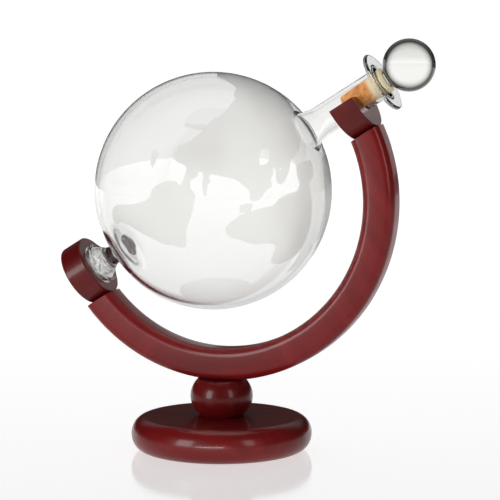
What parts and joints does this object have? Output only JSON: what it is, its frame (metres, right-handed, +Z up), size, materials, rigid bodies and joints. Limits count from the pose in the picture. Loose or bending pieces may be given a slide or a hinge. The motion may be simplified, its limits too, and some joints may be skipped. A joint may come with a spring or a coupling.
{
  "type": "globe decanter on a tilted wooden cradle",
  "caption": "Round clear glass globe with a frosted world map, lying tilted in a curved wooden cradle on a round foot, with a neck, wide lip, tapered cork and glass ball.",
  "frame": {"origin": "centre of the base pad's underside, on the table", "axes": "+Z up, +X to the side the neck and stopper lean to; the decanter's axis lies in the XZ plane, 32.4 degrees above +X"},
  "size_m": [0.2296, 0.14, 0.2453],
  "materials": {
    "stained_wood": "satin lacquer over mahogany red stain",
    "beech": "raw",
    "felt": "matt felt",
    "zinc_steel": "zinc plated",
    "clear_glass": "fire polished",
    "etched_glass": "clear with a frosted world map",
    "clear_ring": "translucent soft plastic",
    "cork": "natural cork"
  },
  "bodies": {
    "stand": {"base_pad": "felt", "base_disc": "stained_wood", "base_washer": "zinc_steel", "base_screw": "zinc_steel", "stand_bead": "stained_wood", "bead_pins": "beech", "arc_low_arm": "stained_wood", "arc_bottom": "stained_wood", "arc_high_arm": "stained_wood", "arc_dowels": "beech", "foot_cup": "stained_wood", "cup_dowel": "beech", "neck_saddle": "stained_wood", "saddle_dowels": "beech"},
    "foot_ring_body": {"foot_ring": "clear_ring"},
    "decanter": {"glass_foot": "clear_glass", "globe_bulb": "etched_glass", "neck_tube": "clear_glass", "lip_flange": "clear_glass"},
    "stopper": {"cork": "cork", "ball_finial": "clear_glass"}
  },
  "joints": [
    {"name": "decanter_lift", "type": "slide", "parent": "stand", "child": "foot_ring_body", "axis": [0, 0, 1], "range_m": [0, 0.15]},
    {"name": "globe_turn", "type": "hinge", "parent": "foot_ring_body", "child": "decanter", "pos_m": [-0.00512, 0, 0.15463], "axis": [0.8443, 0, 0.5358], "continuous": true},
    {"name": "stopper_pull", "type": "slide", "parent": "decanter", "child": "stopper", "axis": [0.8443, 0, 0.5358], "range_m": [0, 0.04]}
  ]
}
